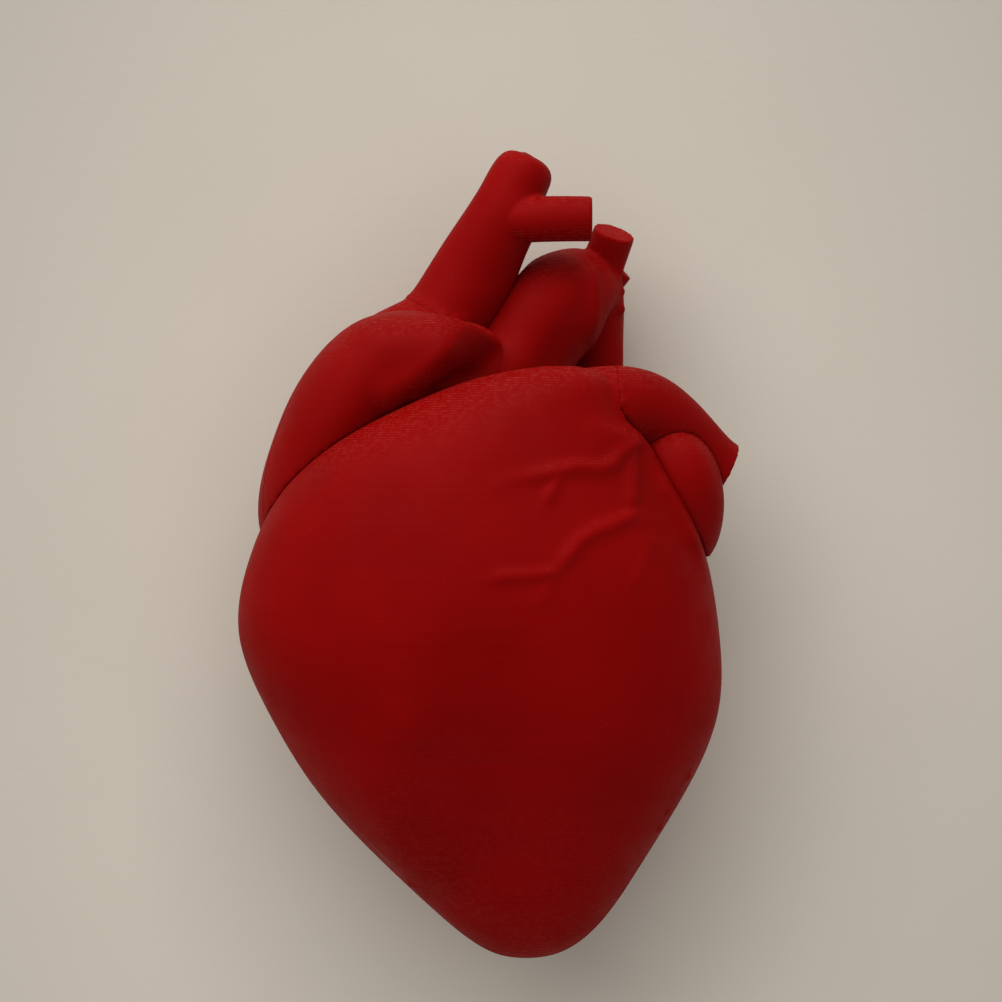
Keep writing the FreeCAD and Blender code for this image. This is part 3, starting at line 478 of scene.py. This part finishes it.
def solid_middles(node):
    """Middles of the separate solids of a node, as (x, y)."""
    piece = merged_copy(node, "measured")
    bpy.ops.object.mode_set(mode="EDIT")
    bpy.ops.mesh.select_all(action="SELECT")
    bpy.ops.mesh.separate(type="LOOSE")
    bpy.ops.object.mode_set(mode="OBJECT")
    middles = []
    for part in list(bpy.context.selected_objects):
        points = points_of(part)
        middle = (points.min(axis=0) + points.max(axis=0)) / 2
        middles.append((float(middle[0]), float(middle[1])))
        bpy.data.objects.remove(part)
    return sorted(middles)


MAGNET_PLACES = solid_middles("front_magnets")
PIN_PLACES = solid_middles("locating_pins")


def bars_at(places, side, start, radius, length, bevel=0.0):
    """Upright bars that start at a height from the split plane and run to the front (1) or the back (-1)."""
    return [
        round_bar("bar", Vector((x, y, SPLIT.z + side * start)), FRONT * side, radius, length, bevel=bevel)
        for x, y in places
    ]


def pocket_bars(side, spare=0.0):
    """Bars for the magnets' pockets and the pins' holes of one half, with spare wall round them for plugs."""
    start = -OVERLAP if spare else -0.5
    pin_radius, pin_depth = (PIN_HOLE_RADIUS, PIN_HOLE_DEPTH) if side > 0 else (PIN_RADIUS, PIN_DEPTH)
    depth = MAGNET_THICKNESS + MAGNET_INSET
    return [
        *bars_at(MAGNET_PLACES, side, start, MAGNET_RADIUS + spare, depth - start + spare),
        *bars_at(PIN_PLACES, side, start, pin_radius + spare, pin_depth - start + spare),
    ]


def socket_plug(vessel):
    floor, depth, pull = SOCKETS[vessel]
    return round_bar("plug", floor, pull, HOLE_RADIUS + PLUG_SPARE, depth + OVERLAP)


def socket_bore(vessel):
    floor, depth, pull = SOCKETS[vessel]
    return round_bar("bore", floor, pull, HOLE_RADIUS, depth + 1.0)


def socket_mouth(vessel):
    floor, depth, pull = SOCKETS[vessel]
    return floor + pull * depth, pull


def vessel_seam(vessel):
    """The flat face of a vessel that meets its socket's mouth."""
    floor, depth, pull = SOCKETS[vessel]
    return floor + pull * (depth + SEAM_GAP), -pull


def vessel_spigot(vessel):
    floor, depth, pull = SOCKETS[vessel]
    return round_bar("spigot", floor + pull * SLIDE_GAP, pull, SPIGOT_RADIUS, depth + 0.6, bevel=0.25)


# ------------------------------------------------------------------ pieces

front_wall = printed_skin(
    "ventricle_front_wall", WALL_VOXEL, 3,
    faces=[(SPLIT, -FRONT)],
    foot_of=("pulmonary", "pulmonary_trunk", Vector((0.91, -0.02, -0.42))),
    plugs=[*pocket_bars(1, 0.5), socket_plug("pulmonary")],
    relief=front_relief,
    bores=[*pocket_bars(1), socket_bore("pulmonary")],
)
back_half = printed_skin(
    "ventricle_back_half", WALL_VOXEL, 3,
    faces=[(SPLIT, FRONT), (TABLE, -FRONT)],
    foot_of=("aortic", "aorta", Vector((0.51, 0.855, -0.09))),
    plugs=[*pocket_bars(-1, 0.5), socket_plug("aortic")],
    bores=[*pocket_bars(-1), socket_bore("aortic")],
)
right_auricle = printed_skin(
    "right_auricle", LOBE_VOXEL, 4, faces=[(SPLIT, -FRONT)], relief=auricle_relief
)
right_atrium = printed_skin(
    "right_atrium", LOBE_VOXEL, 4,
    faces=[(SPLIT, FRONT), socket_mouth("caval")],
    plugs=[socket_plug("caval")],
    bores=[socket_bore("caval")],
)
caval_skin = printed_skin(
    "superior_vena_cava", VESSEL_VOXEL, 4, faces=[vessel_seam("caval")], spigot=vessel_spigot("caval")
)
aorta_skin = printed_skin(
    "aorta", VESSEL_VOXEL, 4,
    faces=[vessel_seam("aortic")],
    relief=arch_relief,
    spigot=vessel_spigot("aortic"),
)
trunk_skin = printed_skin(
    "pulmonary_trunk", VESSEL_VOXEL, 4, faces=[vessel_seam("pulmonary")], spigot=vessel_spigot("pulmonary")
)
left_auricle = printed_skin("left_auricle", VESSEL_VOXEL, 4)

SKINS = {
    "ventricle_front_wall": front_wall,
    "ventricle_back_half": back_half,
    "right_auricle": right_auricle,
    "right_atrium": right_atrium,
    "superior_vena_cava": caval_skin,
    "aorta": aorta_skin,
    "pulmonary_trunk": trunk_skin,
    "left_auricle": left_auricle,
}
for node in ("left_atrium", "inferior_vena_cava", "right_pulmonary_artery", "right_pulmonary_veins",
             "left_pulmonary_veins"):
    SKINS[node] = printed_skin(node, VESSEL_VOXEL, 4)
for node in ("tricuspid_valve", "mitral_valve", "right_papillary_muscles", "left_papillary_muscles"):
    SKINS[node] = printed_skin(node, FINE_VOXEL, 3)

fill_fold(left_auricle, front_wall, height=0.4, width=1.2)
snug(left_auricle, front_wall, back_half, reach=2.2)
snug(trunk_skin, front_wall, left_auricle, reach=1.5)
snug(caval_skin, right_auricle, right_atrium, reach=1.5)
snug(aorta_skin, front_wall, right_auricle, caval_skin, reach=1.8)
give_way(left_auricle, front_wall)
give_way(trunk_skin, front_wall)
give_way(aorta_skin, right_auricle)
match_rims(trunk_skin, front_wall, "pulmonary")
match_rims(caval_skin, right_atrium, "caval")


# ------------------------------------------------------------------ effects that materials share

def new_group(name, inputs, outputs):
    """An empty node group with named inputs, given as (name, kind, value), and outputs, as (name, kind)."""
    group = bpy.data.node_groups.new(name, "ShaderNodeTree")
    for socket, kind, value in inputs:
        made = group.interface.new_socket(name=socket, in_out="INPUT", socket_type=kind)
        made.default_value = value
    for socket, kind in outputs:
        group.interface.new_socket(name=socket, in_out="OUTPUT", socket_type=kind)
    return group, group.nodes.new("NodeGroupInput"), group.nodes.new("NodeGroupOutput")


def add(tree, kind, inputs=None, **settings):
    """A node with its settings, and its inputs given as values or as other nodes' sockets."""
    node = tree.nodes.new(kind)
    for key, value in settings.items():
        setattr(node, key, value)
    for key, value in (inputs or {}).items():
        if isinstance(value, bpy.types.NodeSocket):
            tree.links.new(value, node.inputs[key])
        else:
            node.inputs[key].default_value = value
    return node


def math_node(tree, operation, *values):
    return add(tree, "ShaderNodeMath", dict(enumerate(values)), operation=operation).outputs[0]


def remap(tree, value, low, high, to_low=0.0, to_high=1.0):
    return add(
        tree, "ShaderNodeMapRange",
        {"Value": value, "From Min": low, "From Max": high, "To Min": to_low, "To Max": to_high},
    ).outputs[0]


def blend_colors(tree, share, first, second):
    node = add(tree, "ShaderNodeMix", data_type="RGBA")
    for key, value in ((0, share), (6, first), (7, second)):
        if isinstance(value, bpy.types.NodeSocket):
            tree.links.new(value, node.inputs[key])
        else:
            node.inputs[key].default_value = value
    return node.outputs[2]


def noise_value(tree, scale, detail=2.0, stretch=(1, 1, 1)):
    """Noise on object coordinates; scale counts features per metre."""
    place = add(tree, "ShaderNodeTexCoord").outputs["Object"]
    if stretch != (1, 1, 1):
        place = add(tree, "ShaderNodeMapping", {"Vector": place, "Scale": stretch}).outputs[0]
    return add(tree, "ShaderNodeTexNoise", {"Vector": place, "Scale": scale, "Detail": detail}).outputs[0]


def print_layers_group():
    """Print lines: each layer's bead, how strongly a slope shows its steps, and each layer's tone."""
    group, given, result = new_group(
        "print_layers",
        [("Layer", "NodeSocketFloat", LAYER * MM), ("Wobble", "NodeSocketFloat", 0.00003)],
        [("Bead", "NodeSocketFloat"), ("Steps", "NodeSocketFloat"), ("Tone", "NodeSocketFloat")],
    )
    place = add(group, "ShaderNodeTexCoord").outputs["Object"]
    height = add(group, "ShaderNodeSeparateXYZ", {0: place}).outputs["Y"]
    wander = math_node(group, "SUBTRACT", noise_value(group, 350.0), 0.5)
    height = math_node(group, "ADD", height, math_node(group, "MULTIPLY", wander, given.outputs["Wobble"]))
    count = math_node(group, "DIVIDE", height, given.outputs["Layer"])
    wave = math_node(group, "SINE", math_node(group, "MULTIPLY", count, math.pi))
    bead = math_node(group, "ABSOLUTE", wave)
    normal = add(group, "ShaderNodeNewGeometry").outputs["Normal"]
    slope = math_node(group, "ABSOLUTE", add(group, "ShaderNodeSeparateXYZ", {0: normal}).outputs["Y"])
    steps = remap(group, slope, 0.35, 0.95)
    layer = math_node(group, "FLOOR", count)
    tone = add(group, "ShaderNodeTexWhiteNoise", {"W": layer}, noise_dimensions="1D")
    for name, socket in (("Bead", bead), ("Steps", steps), ("Tone", tone.outputs["Value"])):
        group.links.new(socket, result.inputs[name])
    return group


def specks_group():
    """Scattered small specks: pale flecks on a print, pin-sized marks on metal."""
    group, given, result = new_group(
        "specks",
        [("Scale", "NodeSocketFloat", 1500.0), ("Amount", "NodeSocketFloat", 0.3)],
        [("Mask", "NodeSocketFloat")],
    )
    place = add(group, "ShaderNodeTexCoord").outputs["Object"]
    fine = add(group, "ShaderNodeTexNoise", {"Vector": place, "Scale": given.outputs["Scale"], "Detail": 3.0})
    patch = noise_value(group, 140.0, 2.0)
    level = math_node(group, "SUBTRACT", 0.86, math_node(group, "MULTIPLY", given.outputs["Amount"], patch))
    mask = math_node(group, "MULTIPLY", math_node(group, "SUBTRACT", fine.outputs[0], level), 14.0)
    clean = add(group, "ShaderNodeClamp", {"Value": mask}).outputs[0]
    group.links.new(clean, result.inputs["Mask"])
    return group


def mottle_group():
    """A surface's slow change of tone, from a dark to a light colour."""
    group, given, result = new_group(
        "mottle",
        [
            ("Dark", "NodeSocketColor", (0, 0, 0, 1)),
            ("Light", "NodeSocketColor", (1, 1, 1, 1)),
            ("Scale", "NodeSocketFloat", 60.0),
        ],
        [("Color", "NodeSocketColor"), ("Value", "NodeSocketFloat")],
    )
    place = add(group, "ShaderNodeTexCoord").outputs["Object"]
    scale = given.outputs["Scale"]
    cloud = add(group, "ShaderNodeTexNoise", {"Vector": place, "Scale": scale, "Detail": 4.0})
    share = remap(group, cloud.outputs[0], 0.3, 0.7)
    color = blend_colors(group, share, given.outputs["Dark"], given.outputs["Light"])
    group.links.new(color, result.inputs["Color"])
    group.links.new(share, result.inputs["Value"])
    return group


PRINT_LAYERS = print_layers_group()
SPECKS = specks_group()
MOTTLE = mottle_group()


def use(tree, group, **values):
    node = tree.nodes.new("ShaderNodeGroup")
    node.node_tree = group
    for key, value in values.items():
        node.inputs[key].default_value = value
    return node.outputs


# ------------------------------------------------------------------ materials

def finish_material(name, **values):
    """A new material with its constant values set on the shader itself."""
    material = bpy.data.materials.new(name)
    material.use_nodes = True
    tree = material.node_tree
    tree.nodes.clear()
    output = tree.nodes.new("ShaderNodeOutputMaterial")
    shader = tree.nodes.new("ShaderNodeBsdfPrincipled")
    tree.links.new(shader.outputs["BSDF"], output.inputs["Surface"])
    for key, value in values.items():
        shader.inputs[key.replace("_", " ")].default_value = value
    return material, tree, shader


def lift_surface(tree, shader, height, distance):
    bump = add(tree, "ShaderNodeBump", {"Height": height, "Distance": distance})
    tree.links.new(bump.outputs[0], shader.inputs["Normal"])


BRIGHT_LAYER = (0.30, 0.002, 0.0015, 1)
# Pale red of the specks and of the painted highlight on the crests of the layer steps
PALE_SPECK_AND_HIGHLIGHT_RED = (0.46, 0.085, 0.07, 1)
SCRATCHED_NICKEL = (0.30, 0.28, 0.26, 1)


def red_print():
    """Matte red filament laid in layers, its slopes stepped, with pale specks and a painted highlight on the
    crests of the layer steps.
    """
    material, tree, shader = finish_material("red_print", Specular_IOR_Level=0.04)
    layers = use(tree, PRINT_LAYERS)
    tone = use(tree, MOTTLE, Dark=(0.215, 0.0005, 0.0005, 1), Light=(0.262, 0.0009, 0.0008, 1), Scale=70.0)
    layer_share = remap(tree, layers["Tone"], 0, 1, 0.0, 0.11)
    layered = blend_colors(tree, layer_share, tone["Color"], BRIGHT_LAYER)
    # Pale specks scattered over the print
    pale_specks = use(tree, SPECKS, Scale=2600.0, Amount=0.2)["Mask"]
    # Painted highlight: on slopes that show their steps, the crest of each layer's bead is lightened, broken up by
    # noise
    edges = math_node(tree, "MULTIPLY", layers["Steps"], math_node(tree, "POWER", layers["Bead"], 3.0))
    highlight_breakup = remap(tree, noise_value(tree, 1600.0, 3.0), 0.42, 0.72)
    painted_step_highlight = math_node(tree, "MULTIPLY", math_node(tree, "MULTIPLY", edges, highlight_breakup), 0.34)
    specks_and_step_highlight = math_node(tree, "MAXIMUM", math_node(tree, "MULTIPLY", pale_specks, 0.5), painted_step_highlight)
    color = blend_colors(tree, specks_and_step_highlight, layered, PALE_SPECK_AND_HIGHLIGHT_RED)
    tree.links.new(color, shader.inputs["Base Color"])
    sheen = remap(tree, noise_value(tree, 240.0, 3.0), 0.3, 0.7, 0.5, 0.66)
    tree.links.new(sheen, shader.inputs["Roughness"])
    depth = math_node(tree, "ADD", 0.2, math_node(tree, "MULTIPLY", layers["Steps"], 0.8))
    beads = math_node(tree, "MULTIPLY", layers["Bead"], depth)
    grain = math_node(tree, "MULTIPLY", noise_value(tree, 3500.0, 2.0), 0.22)
    lift_surface(tree, shader, math_node(tree, "ADD", beads, grain), 0.00003)
    return material


def red_filament():
    """The pins: plain drawn filament, smoother and glossier than the printed pieces."""
    material, tree, shader = finish_material("red_filament", Specular_IOR_Level=0.4)
    tone = use(tree, MOTTLE, Dark=(0.26, 0.001, 0.001, 1), Light=(0.32, 0.003, 0.002, 1), Scale=400.0)
    tree.links.new(tone["Color"], shader.inputs["Base Color"])
    drawn = noise_value(tree, 2500.0, 2.0, stretch=(1, 1, 0.04))
    tree.links.new(remap(tree, drawn, 0.3, 0.7, 0.3, 0.46), shader.inputs["Roughness"])
    lift_surface(tree, shader, drawn, 0.000008)
    return material


def nickel():
    """The magnets' nickel plate, with fine handling marks."""
    material, tree, shader = finish_material("magnet_nickel", Metallic=1.0)
    tone = use(tree, MOTTLE, Dark=(0.62, 0.60, 0.57, 1), Light=(0.76, 0.75, 0.73, 1), Scale=500.0)
    marks = use(tree, SPECKS, Scale=5200.0, Amount=0.5)["Mask"]
    color = blend_colors(tree, math_node(tree, "MULTIPLY", marks, 0.5), tone["Color"], SCRATCHED_NICKEL)
    tree.links.new(color, shader.inputs["Base Color"])
    scratches = noise_value(tree, 3000.0, 3.0, stretch=(0.08, 1, 1))
    tree.links.new(remap(tree, scratches, 0.35, 0.7, 0.16, 0.36), shader.inputs["Roughness"])
    lift_surface(tree, shader, scratches, 0.000003)
    return material


RED, FILAMENT, NICKEL = red_print(), red_filament(), nickel()
BODY_OF = {node: body for body, names in frame["record"]["behaviour"]["bodies"].items() for node in names}


def dress(piece, node, material):
    """Gives a finished piece its shading and its material, hides the CAD node that it stands for, and attaches the
    piece to that node's body.
    """
    only(piece)
    bpy.ops.object.shade_smooth_by_angle(angle=SMOOTH_ANGLE)
    piece.data.materials.clear()
    piece.data.materials.append(material)
    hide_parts(node)
    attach(piece, BODY_OF[node])


for node, piece in SKINS.items():
    dress(piece, node, RED)
for node, side in (("back_magnets", -1), ("front_magnets", 1)):
    discs = join(bars_at(MAGNET_PLACES, side, MAGNET_INSET, MAGNET_RADIUS, MAGNET_THICKNESS, bevel=0.15))
    discs.name = node + "_plated"
    dress(discs, node, NICKEL)
pins = join(bars_at(PIN_PLACES, 1, -PIN_DEPTH, PIN_RADIUS, PIN_DEPTH + PIN_REACH, bevel=0.2))
pins.name = "locating_pins_drawn"
dress(pins, "locating_pins", FILAMENT)
for name in ("aortic_valve", "pulmonary_valve"):
    for slot in frame["nodes"][name].material_slots:
        slot.material = RED

# ------------------------------------------------------------------ table, light and camera

TABLE_SIZE = 1.6                # in metres, like all lengths of the light and the table
# The paper's darker colour away from the painted pool of lamplight
PAPER_OUTSIDE_PAINTED_LIGHT = (0.40, 0.367, 0.325, 1)
ROOM_TONE, ROOM_STRENGTH = (1.0, 0.985, 0.96, 1), 0.44
WALL_TONE, WALL_STRENGTH = (0.42, 0.385, 0.34, 1), 1.0
CAMERA_HEIGHT = 320.0           # above the split plane, where the outline lies
LOOK_AT = (1.56, 6.36)
VIEW_WIDTH = 120.24             # of what the camera sees in the split plane

bpy.ops.object.select_all(action="DESELECT")
bpy.ops.mesh.primitive_plane_add(size=TABLE_SIZE, location=(0, 0, 0))
table = bpy.context.active_object
table.name = "table"
paper, tree, shader = finish_material("paper", Roughness=0.9, Specular_IOR_Level=0.1)
sheet_tone = use(tree, MOTTLE, Dark=(0.64, 0.585, 0.51, 1), Light=(0.66, 0.605, 0.53, 1), Scale=30.0)
place = add(tree, "ShaderNodeTexCoord").outputs["Object"]
oval = {"Vector": place, "Location": (0, 0.02, 0), "Scale": (1.5, 1, 1)}
turned = add(tree, "ShaderNodeMapping", oval).outputs[0]
reach = add(tree, "ShaderNodeVectorMath", {0: turned}, operation="LENGTH").outputs["Value"]
# Painted pool of lamplight: the paper darkens away from an oval patch round the heart, standing in for the lamp's
# falloff
edge = remap(tree, reach, 0.07, 0.2)
painted_lamp_pool = blend_colors(tree, edge, sheet_tone["Color"], PAPER_OUTSIDE_PAINTED_LIGHT)
tree.links.new(painted_lamp_pool, shader.inputs["Base Color"])
lift_surface(tree, shader, noise_value(tree, 1400.0, 4.0), 0.00002)
table.data.materials.append(paper)

# The room lights softly, and a pale wall stands behind the table wherever the camera looks past it.
world = bpy.data.worlds.new("room")
bpy.context.scene.world = world
world.use_nodes = True
tree = world.node_tree
ray = add(tree, "ShaderNodeLightPath").outputs
seen = math_node(tree, "MAXIMUM", ray["Is Camera Ray"], ray["Is Glossy Ray"])
strength = remap(tree, seen, 0, 1, ROOM_STRENGTH, WALL_STRENGTH)
tree.links.new(strength, tree.nodes["Background"].inputs["Strength"])
wall_tone = blend_colors(tree, seen, ROOM_TONE, WALL_TONE)
tree.links.new(wall_tone, tree.nodes["Background"].inputs["Color"])


def window(name, place, aim, width, height, power, color):
    light = bpy.data.lights.new(name, "AREA")
    light.shape = "RECTANGLE"
    light.size, light.size_y = width, height
    light.energy = power
    light.color = color
    lamp = bpy.data.objects.new(name, light)
    lamp.location = place
    lamp.rotation_euler = (Vector(aim) - Vector(place)).to_track_quat("-Z", "Y").to_euler()
    bpy.context.collection.objects.link(lamp)


window(
    "window_light", place=(-0.28, 0.90, 0.63), aim=(0, 0, 0.01), width=1.8, height=1.2, power=16.2,
    color=(1.0, 0.985, 0.955),
)

lens = bpy.data.cameras.new("camera")
lens.sensor_fit = "HORIZONTAL"
lens.angle = 2 * math.atan(VIEW_WIDTH / 2 / CAMERA_HEIGHT)
lens.clip_start = 0.01
camera = bpy.data.objects.new("camera", lens)
camera.location = (LOOK_AT[0] * MM, LOOK_AT[1] * MM, (SPLIT.z + CAMERA_HEIGHT) * MM)
camera.rotation_euler = (0, 0, 0)
bpy.context.collection.objects.link(camera)
bpy.context.scene.camera = camera
bpy.context.scene.view_settings.view_transform = "Standard"
